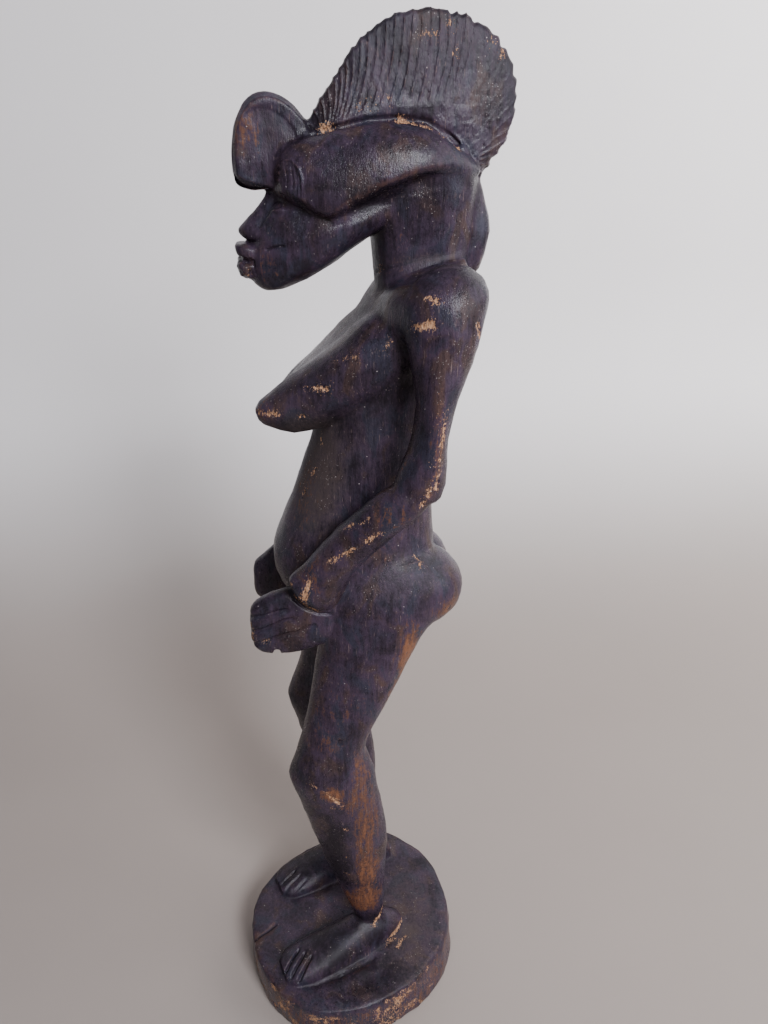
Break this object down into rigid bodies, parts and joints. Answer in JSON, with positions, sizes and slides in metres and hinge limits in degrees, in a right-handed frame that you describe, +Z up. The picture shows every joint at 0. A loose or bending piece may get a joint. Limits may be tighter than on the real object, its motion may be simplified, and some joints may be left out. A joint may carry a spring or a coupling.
{
  "type": "senufo female figure",
  "caption": "Carved wooden standing female figure with a fluted fan crest, bent arms and legs, and a round base.",
  "frame": {"origin": "middle of the flat underside of the base", "axes": "+Z up; the figure looks along -Y and its left side is +X"},
  "size_m": [0.1476, 0.16, 0.6037],
  "materials": {
    "dark_wood": "dark brown-black stain with a satin gloss, worn through to orange-brown wood in places"
  },
  "bodies": {
    "root": {"figure": "dark_wood"}
  },
  "joints": []
}
